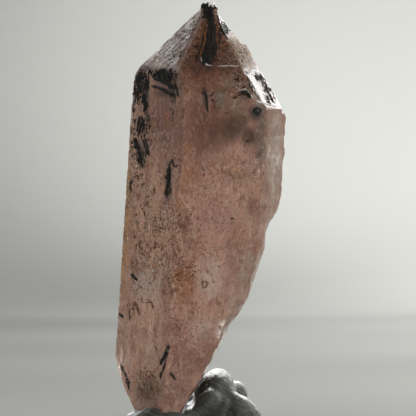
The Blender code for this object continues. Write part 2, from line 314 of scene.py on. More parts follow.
# A CAD node's mesh in millimetres, with its points joined
def mergedCopy(node):
    bm = bmesh.new()
    bm.from_mesh(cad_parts[node].data)
    bmesh.ops.scale(bm, vec=(units["millimetre"],) * 3, verts=bm.verts)
    bmesh.ops.remove_doubles(bm, verts=bm.verts, dist=0.002)
    return bm


def newObject(name, bm):
    mesh = bpy.data.meshes.new(name)
    bm.to_mesh(mesh)
    bm.free()
    made = bpy.data.objects.new(name, mesh)
    bpy.context.scene.collection.objects.link(made)
    return made


# The mesh of an object with its modifiers, and the object gone
def takeMesh(made):
    bpy.context.view_layer.update()
    graph = bpy.context.evaluated_depsgraph_get()
    mesh = bpy.data.meshes.new_from_object(made.evaluated_get(graph))
    bpy.data.objects.remove(made)
    bm = bmesh.new()
    bm.from_mesh(mesh)
    bpy.data.meshes.remove(mesh)
    return bm


# An even net of small faces over a shape, with its edges kept sharp
def evenNet(bm, depth):
    made = newObject("evenNet", bm)
    net = made.modifiers.new("net", "REMESH")
    net.mode = "SHARP"
    net.octree_depth = depth
    net.scale = 0.95
    net.sharpness = 1.0
    net.use_remove_disconnected = True
    return takeMesh(made)


def finishPiece(name, bm, material, sharp=None, replaced=None):
    bmesh.ops.scale(bm, vec=(units["metre"],) * 3, verts=bm.verts)
    made = newObject(name, bm)
    made.data.shade_smooth()
    if sharp is not None:
        made.data.set_sharp_from_angle(angle=math.radians(sharp))
    made.data.materials.clear()
    made.data.materials.append(material)
    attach(made, "root")
    if replaced:
        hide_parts(replaced)
    print(name, len(made.data.polygons), "faces")


# The left tip face, as the crystal grew
tipLeft = {"point": (-4.1, -8.2, 59.9), "normal": (-0.604, -0.451, 0.658)}
# The middle of the crystal's cross section, from the foot to the tip: height and x
middles = (
    (6.3, -6.6), (15.0, -5.5), (22.0, -3.4), (32.0, -1.2), (39.0, 0.25), (48.7, 1.2), (57.0, 0.1), (70.0, 1.2)
)


def middleAt(height):
    lower = [spot for spot in middles if spot[0] <= height] or [middles[0]]
    upper = [spot for spot in middles if spot[0] > height] or [middles[-1]]
    (lowZ, lowX), (highZ, highX) = lower[-1], upper[0]
    share = 0.0 if highZ == lowZ else min(1.0, max(0.0, (height - lowZ) / (highZ - lowZ)))
    return lowX + (highX - lowX) * share


# Crystal skin: growth relief in millimetres, always inwards from the built faces.
# Each kind has its depth and how many waves it has to a millimetre
skin = {
    "net": 8,
    "soften": 0.35,
    "swell": {"depth": 0.07, "waves": 0.35},
    "bands": {"depth": 0.05, "waves": (0.08, 0.08, 1.3), "wavesFine": (0.3, 0.3, 4.5)},
    "shells": {"depth": 0.22, "waves": 0.55, "wavesFine": 1.3},
    "frost": {"depth": 0.05, "waves": 2.2, "near": 0.4},
    "wear": {"depth": 0.28, "waves": 0.9, "shift": (7.0, 1.0, 3.0), "edgeAngle": 0.3},
}


def drawnOut(place, waves):
    return Vector((place.x * waves[0], place.y * waves[1], place.z * waves[2]))


def reliefAt(place, normal, edge):
    swell, bands, shells, frost, wear = (skin[kind] for kind in ("swell", "bands", "shells", "frost", "wear"))
    depth = swell["depth"] * (noise.noise(place * swell["waves"]) * 0.5 + 0.5)
    if abs(normal.z - 0.06) < 0.2:  # prism faces have growth bands across them
        coarse, fine = (noise.noise(drawnOut(place, bands[key])) for key in ("waves", "wavesFine"))
        depth += bands["depth"] * (max(0.0, coarse) * 1.6 + abs(fine) * 0.7)
    if normal.x > 0.45 and normal.z < -0.1:  # the broken flank has shell-shaped ripples
        coarse, fine = (abs(noise.noise(place * shells[key])) for key in ("waves", "wavesFine"))
        depth += shells["depth"] * (coarse + 0.5 * fine)
    away = (place - Vector(tipLeft["point"])).dot(Vector(tipLeft["normal"]))
    if away > -frost["near"] and normal.x < -0.3:  # the left tip face is frosted
        depth += frost["depth"] * (noise.noise(place * frost["waves"]) + 1.0)
    if edge:
        depth += wear["depth"] * max(0.0, noise.noise(place * wear["waves"] + Vector(wear["shift"])) + 0.1)
    return depth


def makeSkinNet():
    bm = evenNet(mergedCopy("quartz_point"), skin["net"])
    bm.normal_update()
    sharp = [e for e in bm.edges if e.is_manifold and e.calc_face_angle(0.0) > skin["wear"]["edgeAngle"]]
    edges = {v.index for e in sharp for v in e.verts}
    moves = [(v, v.normal * -reliefAt(v.co, v.normal, v.index in edges)) for v in bm.verts]
    for v, move in moves:
        v.co += move
    bmesh.ops.smooth_vert(
        bm, verts=bm.verts, factor=skin["soften"], use_axis_x=True, use_axis_y=True, use_axis_z=True
    )
    bm.normal_update()
    return bm


# Tints of the cloudy body, and the zones of each as the photo shows them: middle and half size in pixels,
# and how much
plainBody = (0.76, 0.46, 0.345)
tints = {
    "rose": {"colour": (0.40, 0.185, 0.145), "zones": {
        "leftUpper": ((156, 125), (26, 48), 0.8),
        "lowMiddle": ((184, 352), (13, 32), 0.6),
        "midLeft": ((196, 175), (22, 26), 0.5),
        "lowCentre": ((177, 345), (10, 36), 0.8),
        "lowRight": ((204, 358), (14, 16), 0.5),
        "foot": ((178, 392), (18, 12), 0.8),
    }},
    "mauve": {"colour": (0.58, 0.33, 0.30), "zones": {
        "middle": ((214, 216), (24, 22), 0.6),
        "band": ((232, 268), (7, 28), 0.6),
        "low": ((172, 384), (15, 9), 0.4),
        "lowLeft": ((128, 292), (9, 24), 0.4),
        "leftUpper": ((163, 140), (16, 22), 0.4),
    }},
    "olive": {"colour": (0.23, 0.15, 0.075), "zones": {
        "patch": ((184, 221), (8, 13), 0.75),
        "patchLow": ((193, 240), (7, 8), 0.5),
        "ridge": ((238, 176), (20, 8), 0.55),
        "right": ((256, 212), (10, 14), 0.4),
        "line": ((170, 277), (2.5, 14), 0.6),
        "corner": ((181, 86), (5, 14), 0.6),
    }},
    "brown": {"colour": (0.19, 0.062, 0.036), "zones": {
        "tip": ((207, 46), (42, 58), 1.0),
        "high": ((203, 120), (36, 50), 1.0),
        "leftHigh": ((158, 118), (26, 42), 0.5),
        "streak": ((166, 300), (5, 16), 0.3),
    }},
    "grey": {"colour": (0.36, 0.31, 0.25), "zones": {
        # The grey band is painted shade: the dark zone that an inner reflection leaves down the right prism
        # edge
        "band": ((261, 140), (6, 30), 0.7),
        "underLedge": ((240, 80), (20, 9), 0.6),
    }},
    "mist": {"colour": (0.66, 0.59, 0.50), "zones": {
        "lowRight": ((247, 274), (11, 26), 0.75),
        "low": ((235, 302), (10, 14), 0.6),
        "leftLow": ((140, 276), (22, 26), 0.5),
    }},
    "gold": {"colour": (0.60, 0.34, 0.15), "zones": {
        "edge": ((124, 190), (9, 85), 0.7),
        "foot": ((142, 375), (6, 9), 0.8),
        # The two ridge zones are painted highlight on the ridge relief
        "ridgeLeftHighlight": ((190, 168), (6, 5), 0.6),
        "ridgeRightHighlight": ((240, 169), (14, 4), 0.6),
    }},
    "orange": {"colour": (0.46, 0.19, 0.05), "zones": {"cluster": ((183, 281), (13, 24), 0.9)}},
    "pale": {"colour": (0.92, 0.80, 0.70), "zones": {
        "rightFace": ((276, 165), (11, 60), 0.95),
        "lowLeft": ((124, 335), (12, 42), 0.5),
        "cream": ((244, 52), (14, 16), 0.8),
        "lowCentre": ((211, 276), (13, 24), 0.6),
        "lowTan": ((205, 330), (16, 13), 0.6),
        "leftGrey": ((142, 282), (22, 30), 0.8),
        "leftMiddle": ((152, 205), (16, 34), 0.4),
        "low": ((150, 345), (12, 20), 0.5),
    }},
    "pink": {"colour": (0.80, 0.40, 0.34), "zones": {"foot": ((178, 402), (32, 6), 0.5)}},
    "tan": {"colour": (0.97, 0.63, 0.41), "zones": {
        "leftMid": ((146, 210), (24, 80), 0.75),
        "lowLeft": ((138, 330), (24, 45), 0.6),
        "leftStrip": ((128, 130), (6, 30), 0.7),
    }},
    "umber": {"colour": (0.17, 0.075, 0.03), "zones": {
        "foot": ((148, 391), (16, 15), 1.0),
        "footHigh": ((141, 372), (5, 9), 0.5),
    }},
    "smoky": {"colour": (0.085, 0.032, 0.008), "zones": {
        "patch": ((231, 131), (18, 18), 0.94),
        "right": ((249, 137), (13, 12), 0.8),
    }},
}
# The stains that the needles leave round them, and the painted shade of the fluid cavity, in the same terms,
# with rims drawn out upwards
inkAndCavityShade = {
    "colour": (0.02, 0.016, 0.014),
    "zones": {
        "ridge": ((211, 36), (7, 30), 0.95),
        "ridgeLow": ((205, 56), (12, 14), 0.9),
        "shoulder": ((139, 80), (8, 19), 0.85),
        "shoulderLow": ((145, 93), (5, 26), 0.8),
        "triangle": ((165, 77), (13, 9), 0.85),
        "band": ((164, 92), (14, 5), 0.7),
        "flames": ((140, 150), (9, 20), 0.75),
        "flamesHigh": ((142, 125), (7, 10), 0.6),
        "mainLow": ((168.5, 182), (4, 20), 0.7),
        # The cavity zone is painted shade, not a stain: the near-black rim that total reflection gives the
        # fluid cavity
        "cavity": ((256.5, 112), (7, 8), 1.0),
        "beak": ((246, 95), (6, 5), 0.7),
        "stem": ((205, 97), (3, 12), 0.6),
    },
}
# Patches with straight sides: left, top, right and bottom edge in pixels, how soft each edge is, the colour,
# and how much
panes = {
    "olive": ((216.5, 88, 232, 108), (0.6, 2.5, 6, 4), (0.22, 0.18, 0.13), 0.9),
    "window": ((224, 85, 253, 113), (3, 3, 4, 3), (0.24, 0.17, 0.125), 0.6),
    # The shade pane is painted shade from the same inner reflection, over the grey band
    "shade": ((256, 104, 266, 160), (5, 6, 1.2, 10), (0.19, 0.165, 0.15), 0.85),
    "underLine": ((186, 68, 238, 76), (6, 1, 6, 6), (0.20, 0.08, 0.055), 0.6),
}
# The grains of the body
grains = {
    "cloud": {"waves": (0.16, 0.16, 0.11), "detail": 4.0},
    "fibre": {"waves": (2.8, 2.8, 1.15), "detail": 5.0, "roughness": 0.7, "distortion": 1.0, "turn": 3.5},
    "speck": {"waves": (2.2, 2.2, 1.7), "detail": 5.0, "roughness": 0.7, "distortion": 0.6},
}
# The grains that only its flecks have
fleckGrains = {
    "crowd": {"waves": (0.5, 0.5, 0.25), "shift": 4.0},
    "coarse": {
        "waves": (1.2, 1.2, 0.45), "detail": 4.0, "roughness": 0.6, "distortion": 0.8,
        "turn": 3.5, "shift": 9.0,
    },
    "blotch": {
        "waves": (0.42, 0.42, 0.30), "detail": 5.0, "roughness": 0.6, "distortion": 0.6, "shift": 17.0,
    },
}
# Flecks on the tints: colour, where in its grain each starts and is full, and how much
flecks = {
    "blotch": ((0.42, 0.20, 0.14), (0.46, 0.64), 0.7),
    "pale": ((0.97, 0.76, 0.58), (0.48, 0.40), 0.8),
    "rust": ((0.50, 0.20, 0.06), (0.50, 0.59), 0.8),
    "brown": ((0.26, 0.10, 0.045), (0.52, 0.61), 0.85),
    "dark": ((0.07, 0.03, 0.018), (0.53, 0.60), 1.0),
    "tipDark": ((0.035, 0.016, 0.012), (0.49, 0.57), 0.9),
    "tipBlotch": ((0.34, 0.14, 0.09), (0.44, 0.34), 0.6),
}


# How much of the zones there is at a place, the most of any where they overlap.
# Their middles lie so deep, they reach so far along Y, and they may keep to the right of a line
def zoneShare(finish, zones, ragged, deep=-8.0, long=9.0, rightOf=None):
    share = None
    for middle, (halfX, halfZ), much in zones.values():
        x, z = photoPlace(*middle)
        halves = (halfX * photo["pixel"], long, halfZ * photo["pixel"])
        spot = finish.blob((x, deep, z), halves, ragged) * much
        if rightOf:
            (topX, topZ), (lowX, lowZ) = (photoPlace(*corner) for corner in rightOf)
            way = Vector((topZ - lowZ, 0.0, lowX - topX)).normalized()
            line = Vector((topX, 0.0, topZ)).dot(way)
            spot = spot * finish.step(finish.vector("DOT_PRODUCT", finish.at, way), line - 0.15, line + 0.35)
        share = spot if share is None else share.above(spot)
    return share


# 1 between two edges, each of them so soft
def band(finish, place, low, high, softLow, softHigh):
    start = finish.step(place, low - softLow, low + softLow)
    return start * finish.step(place, high + softHigh, high - softHigh)


def paneShare(finish, box, soft, much):
    px = finish.axis("X") / photo["pixel"] + photo["middleX"]
    py = (photo["topHeight"] - finish.axis("Z")) / photo["pixel"]
    across = band(finish, px, *box[::2], *soft[::2])
    upright = band(finish, py, *box[1::2], *soft[1::2])
    return across * upright * finish.step(finish.axis("Y"), 0.0, -4.0) * much


# The tints and how much of each there is at a place, in the order in which they are laid over one another.
# Among them are painted shade, in the grey band, the shade pane and the cavity, and painted highlight, in the
# gold ridge zones
def bodyTints(finish, names, marked):
    cloud, fibre, speck = (finish.grain(**grain) for grain in grains.values())
    ragged = (cloud - 0.5) * 0.9 + (speck - 0.5) * 0.6
    first = [name for name in names if not (marked and name == "smoky")]
    shares = {name: zoneShare(finish, tints[name]["zones"], ragged) for name in first}
    laid = [(tints[name]["colour"], share) for name, share in shares.items()]
    if not marked:
        return laid, cloud
    laid += [(colour, paneShare(finish, box, soft, much)) for box, soft, colour, much in panes.values()]
    crowd, coarse, blotch = (finish.grain(**grain) for grain in fleckGrains.values())
    x, y, z = (finish.axis(name) for name in "XYZ")
    calm = 1.0 - shares["brown"] * 0.6
    leftSide = finish.step(x, 3.0, -7.0, 0.3, 1.0) * finish.step(crowd, 0.40, 0.56, 0.3, 1.0)
    leftSide = leftSide * finish.step(z, 22.0, 33.0, 0.3, 1.0)
    tip = finish.step(z, 57.0, 61.0) * finish.step(y, 5.0, -2.0, 0.2, 1.0)
    spread = {
        "blotch": (blotch, 1.0),
        "pale": (fibre * 0.65 + speck * 0.35, calm),
        "rust": (coarse, leftSide),
        "brown": (speck, calm),
        "dark": (fibre, leftSide),
        "tipDark": (fibre * 0.4 + speck * 0.6, tip),
        "tipBlotch": (blotch, tip),
    }
    for name, (grain, where) in spread.items():
        colour, limits, much = flecks[name]
        laid.append((colour, finish.step(grain, *limits) * where * much))
    smoke = (cloud - 0.5) * 2.0 + (fibre - 0.5) * 1.4 + (speck - 0.5)
    laid.append((tints["smoky"]["colour"], zoneShare(finish, tints["smoky"]["zones"], smoke)))
    stainAndCavityShadeRagged = (fibre - 0.5) * 2.2 + (speck - 0.5) * 2.6
    laid.append((inkAndCavityShade["colour"], zoneShare(finish, inkAndCavityShade["zones"], stainAndCavityShadeRagged)))
    return laid, cloud


# A cloudy sheet: it scatters light back and lets some through, in the same tints
def cloudyShader(finish, laid, back):
    colour, glow = plainBody, finish.node("ShaderNodeBsdfTranslucent", {}, {"Color": (*plainBody, 1.0)})
    for tint, share in laid:
        colour = finish.mix(share, colour, tint)
        tinted = finish.node("ShaderNodeBsdfTranslucent", {}, {"Color": (*tint, 1.0)})
        glow = finish.shaderMix(share, glow, tinted)
    return finish.shaderMix(back, glow, finish.principled({"Base Color": colour, "Roughness": 0.7}))


clear = {"refraction": 1.544, "tint": (0.98, 0.95, 0.93), "absorb": (0.66, 0.42, 0.30), "density": 60.0}
# The stained film on the skin, which also carries the painted shade and highlights among the body tints: its
# share in front and at the back
film = {"front": 0.36, "back": 0.18}
# Thin crusts on the skin, and painted highlights on its low rim and heel: colour, middle and half size in
# pixels, how much, and what else zoneShare is told
crustsAndHighlights = {
    "cream": (
        (0.44, 0.34, 0.24), (243, 50), (24, 30), 0.95, {"deep": -3.0, "rightOf": ((223, 32), (240, 67))}
    ),
    "lower": ((0.80, 0.78, 0.74), (260, 92), (10, 22), 0.3, {"deep": -3.0}),
    "leftEdge": ((0.46, 0.25, 0.11), (121, 185), (10, 110), 0.8, {"deep": 0.0}),
    # The low rim patch is painted highlight where the bevel catches the back light, and the heel patch is a
    # pale dull patch painted in place of the glint on the heel facets
    "lowRim": ((0.95, 0.84, 0.78), (223, 333), (6, 14), 0.9, {"deep": -9.9, "long": 1.4}),
    "heel": ((0.55, 0.40, 0.34), (118, 359), (8, 16), 0.8, {}),
    "knob": ((0.72, 0.66, 0.58), (211, 5), (4, 4), 0.7, {}),
}
# The frosted tip face and its crust
frosted = {
    "thickness": 0.8,
    "specks": {"waves": (5.5, 5.5, 1.9), "detail": 5.0, "roughness": 0.75, "turn": 45.0},
    "drift": {"waves": (1.1, 1.1, 0.35), "detail": 4.0, "roughness": 0.6, "turn": 45.0, "shift": 6.0},
    "pale": (0.37, 0.32, 0.28),
    "dark": (0.022, 0.016, 0.013),
    "rusty": (0.28, 0.185, 0.15),
    "shade": (0.30, 0.24, 0.21),
}
# Brown mottling of the crusts, and the freckles of the tip
mottled = {"waves": (1.5, 1.5, 1.2), "detail": 5.0, "roughness": 0.7, "distortion": 0.8}
freckled = {"waves": (2.2, 2.2, 1.7), "detail": 4.0, "roughness": 0.7, "distortion": 0.8, "shift": 21.0}
crustColours = {
    "mottle": (0.17, 0.085, 0.035), "palerFreckle": (0.36, 0.20, 0.135), "darkerFreckle": (0.03, 0.014, 0.01)
}


def skinFinish():
    finish = Finish("clearQuartz")
    fine = finish.grain((5.0, 5.0, 5.0))
    lines = finish.grain((0.5, 0.5, 5.5), roughness=0.6, turn=3.5)
    patches = finish.grain((0.5, 0.5, 0.3))
    frost = finish.sheet(**tipLeft, thickness=frosted["thickness"])
    specks, drift = finish.grain(**frosted["specks"]), finish.grain(**frosted["drift"])
    mottle, freckle = finish.grain(**mottled), finish.grain(**freckled)

    roughness = 0.05 + finish.step(patches, 0.45, 0.65) * 0.08 + frost * (0.24 + specks * 0.2)
    normal = finish.bump(lines * 0.5 + fine * 0.25 + specks * frost * 2.5, 0.5, 0.12)
    shaded = finish.step(specks, 0.55, 0.7) * frost * 0.8
    shader = finish.principled({
        "Base Color": finish.mix(shaded, clear["tint"], frosted["shade"]),
        "Roughness": roughness,
        "IOR": clear["refraction"],
        "Transmission Weight": 1.0,
        "Normal": normal,
    })

    stainAndPaintedLight = plainBody
    for colour, share in bodyTints(finish, tuple(tints), True)[0]:
        stainAndPaintedLight = finish.mix(share, stainAndPaintedLight, colour)
    stainedAndPaintedLight = {"Base Color": stainAndPaintedLight, "Roughness": roughness, "Specular IOR Level": 0.2, "Normal": normal}
    filmShare = finish.step(finish.axis("Y"), 5.0, 0.0, film["back"], film["front"])
    shader = finish.shaderMix(filmShare, shader, finish.principled(stainedAndPaintedLight))

    streaky = specks * 0.55 + drift * 0.45
    crustAndHighlight = finish.mix(finish.step(streaky, 0.44, 0.52), frosted["pale"], frosted["dark"])
    crustAndHighlight = finish.mix(finish.step(drift, 0.40, 0.52) * 0.5, crustAndHighlight, frosted["rusty"])
    crustAndHighlightShare = frost * (0.35 + finish.step(drift, 0.38, 0.55) * 0.45)
    ragged = (fine - 0.5) * 0.8 + (mottle - 0.5) * 1.4
    # The crusts and the painted highlights on the low rim and heel lie over the skin as a dull layer
    for colour, *zone, reach in crustsAndHighlights.values():
        share = zoneShare(finish, {"crustAndHighlight": zone}, ragged, **reach)
        crustAndHighlight = finish.mix(share.sum("SIGN", share), crustAndHighlight, colour)
        crustAndHighlightShare = crustAndHighlightShare.above(share)
    crustAndHighlight = finish.mix(finish.step(mottle, 0.505, 0.55) * (1.0 - frost) * 0.9, crustAndHighlight, crustColours["mottle"])
    tip = finish.step(finish.axis("Z"), 58.5, 61.0) * finish.step(finish.axis("Y"), 4.0, -2.0) * (1.0 - frost)
    paler, darker = finish.step(freckle, 0.46, 0.41) * tip, finish.step(freckle, 0.50, 0.55) * tip
    crustAndHighlight = finish.mix(paler, crustAndHighlight, crustColours["palerFreckle"])
    crustAndHighlight = finish.mix(darker, crustAndHighlight, crustColours["darkerFreckle"])
    crustAndHighlightShare = crustAndHighlightShare.above(paler * 0.45).above(darker * 0.8)
    dull = {"Base Color": crustAndHighlight, "Roughness": 0.75, "Specular IOR Level": 0.1, "Normal": normal}
    shader = finish.shaderMix(crustAndHighlightShare, shader, finish.principled(dull))

    absorb = {"Color": (*clear["absorb"], 1.0), "Density": clear["density"]}
    return finish.close(shader, finish.node("ShaderNodeVolumeAbsorption", {}, absorb))


# Veils: clouds of tiny inclusions in sheets that follow the faces, the deeper ones thinner.
# Each remembers the place on the skin above it, so that its stains, painted shade and painted highlights lie
# under the skin's own
deeper = {"behind": 0.1, "back": 0.4, "tints": ("brown", "smoky"), "marked": False}
veils = {
    "skin_veil": {
        "depth": 0.5, "net": 7, "wave": 0.12, "cover": 1.0, "behind": 0.12, "back": 0.5,
        "tints": tuple(tints), "marked": True,
    },
    "middle_veil": {"depth": 2.8, "net": 7, "wave": 0.5, "cover": 0.14, **deeper},
    "phantom": {"depth": 5.6, "net": 6, "wave": 0.8, "cover": 0.20, **deeper},
}
# How the sheets shrink with their depth: the crystal's half width, how much shorter they get, how high their
# foot lies, how far they may swell outwards, and their waves to a millimetre
shrink = {"halfWidth": 10.5, "shorter": 1.7, "foot": 0.6, "swell": 0.3, "waves": (0.4, 1.1)}
# Where the veils thin out: middle and half size in pixels, and how much they lose
openings = {
    "cream": ((246, 50), (14, 20), 0.1),
    "pane": ((240, 104), (20, 16), 0.12),
    "rightFace": ((277, 165), (12, 58), 0.35),
    "lowRight": ((248, 275), (10, 26), 0.25),
}


def veilFinish(name, veil):
    finish = Finish(name, "skinPlace")
    laid, cloud = bodyTints(finish, veil["tints"], veil["marked"])
    wisp = finish.grain((0.9, 0.9, 0.3), 5.0, 0.7, 1.0, turn=4.0, shift=veil["depth"])
    opening = zoneShare(finish, openings, (cloud - 0.5) * 0.6)
    frontCover = finish.step(finish.axis("Y"), -1.0, 5.0, veil["cover"], veil["behind"])
    cover = (finish.step(wisp, 0.62, 0.36) - 0.7) * 0.12 + frontCover - opening
    cloudy = cloudyShader(finish, laid, veil["back"])
    seeThrough = finish.node("ShaderNodeBsdfTransparent")
    return finish.close(finish.shaderMix(cover.above(0.0).below(1.0), seeThrough, cloudy))


def makeVeil(name, veil):
    deep = veil["depth"]
    bm = evenNet(mergedCopy("quartz_point"), veil["net"])
    bm.normal_update()
    foot, tip = (corner.z * units["millimetre"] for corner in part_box("quartz_point"))
    thin = 1.0 - deep / shrink["halfWidth"]
    short = 1.0 - deep * shrink["shorter"] / (tip - foot)
    shift = Vector((deep, 0.0, 0.0))
    skinPlace = bm.verts.layers.float_vector.new("skinPlace")
    for v in bm.verts:
        v[skinPlace] = v.co
        middle = middleAt(v.co.z)
        coarse, fine = (noise.noise(v.co * waves + shift) for waves in shrink["waves"])
        inward = v.normal * max(-deep * shrink["swell"], (coarse + 0.5 * fine) * veil["wave"])
        v.co.x = middle + (v.co.x - middle) * thin
        v.co.y *= thin
        v.co.z = foot + deep * shrink["foot"] + (v.co.z - foot) * short
        v.co -= inward
    finishPiece(name, bm, veilFinish(name, veil), sharp=35)


# A needle's form: its ends and its belly as shares of its width, its wander, how far it stays under the tip,
# and how many times its pixels' length, and how much more, it may have before it is left out
needleForm = {"ends": 0.12, "belly": 0.7, "wander": 0.05, "underTip": 0.05, "stretch": 2.0, "slack": 0.3}
# How bundles vary across and in lean, as shares of their half width, how much of its run a needle may start
# before them and keep inside their end, and its jitter in pixels
bundleForm = {"side": 0.5, "lean": 0.5, "before": 0.3, "after": 0.7, "jitter": 0.4}
# How bursts vary in lean, in radians, and in reach
burstForm = {"lean": 0.35, "reach": (0.4, 1.0), "wander": 0.04}
# How fields vary in lean, in degrees, how many clumps they have to a pixel, and how bare they are between
fieldForm = {"lean": 22.0, "clumpsAcross": 0.11, "clumpsDown": 0.06, "bare": (-0.4, 0.35)}


# Needles: each is a thin spindle along a few points, and a piece is many of them
def drawNeedles(name, needles, material):
    line = bpy.data.curves.new(name, "CURVE")
    line.dimensions = "3D"
    line.bevel_depth = 1.0
    line.bevel_resolution = 1
    line.use_fill_caps = True
    for places, radii in needles:
        spline = line.splines.new("POLY")
        spline.points.add(len(places) - 1)
        for point, place, radius in zip(spline.points, places, radii):
            point.co = (*place, 1.0)
            point.radius = radius
    made = bpy.data.objects.new(name, line)
    bpy.context.scene.collection.objects.link(made)
    bm = takeMesh(made)
    bpy.data.curves.remove(line)
    bmesh.ops.recalc_face_normals(bm, faces=bm.faces)
    finishPiece(name, bm, material)


# The place under the skin that the photo's pixel shows, so deep
class Surface:
    def __init__(self, bm):
        self.tree = BVHTree.FromBMesh(bm)

    def under(self, px, py, depth, back=False):
        x, z = photoPlace(px, py)
        way = -1.0 if back else 1.0
        hit, normal, _, _ = self.tree.ray_cast(Vector((x, -40.0 * way, z)), Vector((0.0, way, 0.0)))
        if hit is None:
            hit, normal, _, _ = self.tree.find_nearest(Vector((x, -4.0 * way, z)))
        return hit - normal * depth


# A needle through pixel places, swelling in its middle
def needleThrough(surface, draw, pixels, width, depth, wander=needleForm["wander"], steps=5, back=False):
    knots = [surface.under(px, py, depth, back) for px, py in pixels]
    top = cadBox[1].z * units["millimetre"]
    places, radii = [], []
    for number in range(steps + 1):
        share = number / steps
        reach = share * (len(knots) - 1)
        start = min(int(reach), len(knots) - 2)
        place = knots[start].lerp(knots[start + 1], reach - start)
        swing = math.sin(math.pi * share)
        jitter = Vector((draw.uniform(-1, 1), draw.uniform(-0.3, 1), draw.uniform(-1, 1)))
        place = place + jitter * wander * swing
        radius = width * needleForm["belly"] * (needleForm["ends"] + swing ** 0.7)
        place.z = min(place.z, top - radius - needleForm["underTip"])
        places.append(place)
        radii.append(radius)
    return places, radii


# Needles that would lie along a face seen edge-on are left out
def lying(needle, pixels):
    places = needle[0]
    run = math.dist(pixels[0], pixels[-1]) * photo["pixel"]
    return (places[-1] - places[0]).length > needleForm["stretch"] * run + needleForm["slack"]


# A bundle of needles along a path. Its knots are pixels with the path's half width there, run is the share of
# the path that a needle covers, and slip is its upright jitter
def bundle(surface, draw, knots, count, thick, run=(0.2, 0.5), depth=(-0.05, 0.2), slip=1.5, back=False):
    made = []
    for _ in range(count):
        side = draw.gauss(0.0, bundleForm["side"])
        lean = draw.uniform(-bundleForm["lean"], bundleForm["lean"])
        lift = draw.gauss(0.0, slip)
        share = draw.uniform(*run)
        first = draw.uniform(-bundleForm["before"] * share, 1.0 - bundleForm["after"] * share)
        first, last = max(0.0, first), min(1.0, first + share)
        pixels = []
        for number in range(4):
            reach = (first + (last - first) * number / 3) * (len(knots) - 1)
            start = min(int(reach), len(knots) - 2)
            ends = zip(knots[start], knots[start + 1])
            x, y, half = (low + (high - low) * (reach - start) for low, high in ends)
            shift = (side + lean * (number / 3 - 0.5)) * half
            jitter = draw.uniform(-bundleForm["jitter"], bundleForm["jitter"])
            pixels.append((x + shift + jitter, y + lift))
        width, deep = draw.uniform(*thick), draw.uniform(*depth)
        needle = needleThrough(surface, draw, pixels, width, deep, back=back)
        if not lying(needle, pixels):
            made.append(needle)
    return made


# A burst of short needles from a middle that is blurred so much, all round or leaning one way
def burst(surface, draw, middle, blur, reach, count, thick, depth=(0.02, 0.3), lean=None):
    made = []
    for _ in range(count):
        if lean is None:
            turn = draw.uniform(0.0, math.tau)
        else:
            turn = draw.gauss(math.radians(lean), burstForm["lean"])
        far = reach * draw.uniform(*burstForm["reach"])
        x, y = middle[0] + draw.gauss(0.0, blur[0]), middle[1] + draw.gauss(0.0, blur[1])
        pixels = ((x, y), (x + math.sin(turn) * far, y - math.cos(turn) * far))
        width, deep = draw.uniform(*thick), draw.uniform(*depth)
        made.append(needleThrough(surface, draw, pixels, width, deep, burstForm["wander"], 4))
    return made


# A field of short streaks and grains, denser in places: its box in pixels or its four corners, half of how
# many are tried, how long and thick they are, and their lean in degrees
def streaks(surface, draw, box, count, long, thick, lean, depth=(-0.04, 0.14), back=False):
    made = []
    if not isinstance(box[0], tuple):
        left, top, right, bottom = box
        box = ((left, top), (right, top), (right, bottom), (left, bottom))
    corners = [Vector(corner) for corner in box]
    for _ in range(count * 2):
        across, down = draw.random(), draw.random()
        if draw.random() < max(abs(2 * across - 1), abs(2 * down - 1)) ** 3:
            continue
        x, y = corners[0].lerp(corners[1], across).lerp(corners[3].lerp(corners[2], across), down)
        clump = noise.noise(Vector((x * fieldForm["clumpsAcross"], 0.0, y * fieldForm["clumpsDown"])))
        if clump < draw.uniform(*fieldForm["bare"]):
            continue
        turn = math.radians(draw.gauss(lean, fieldForm["lean"]))
        far = draw.uniform(*long)
        pixels = ((x, y), (x + math.sin(turn) * far, y - math.cos(turn) * far))
        width, deep = draw.uniform(*thick), draw.uniform(*depth)
        needle = needleThrough(surface, draw, pixels, width, deep, steps=3, back=back)
        if not lying(needle, pixels):
            made.append(needle)
    return made


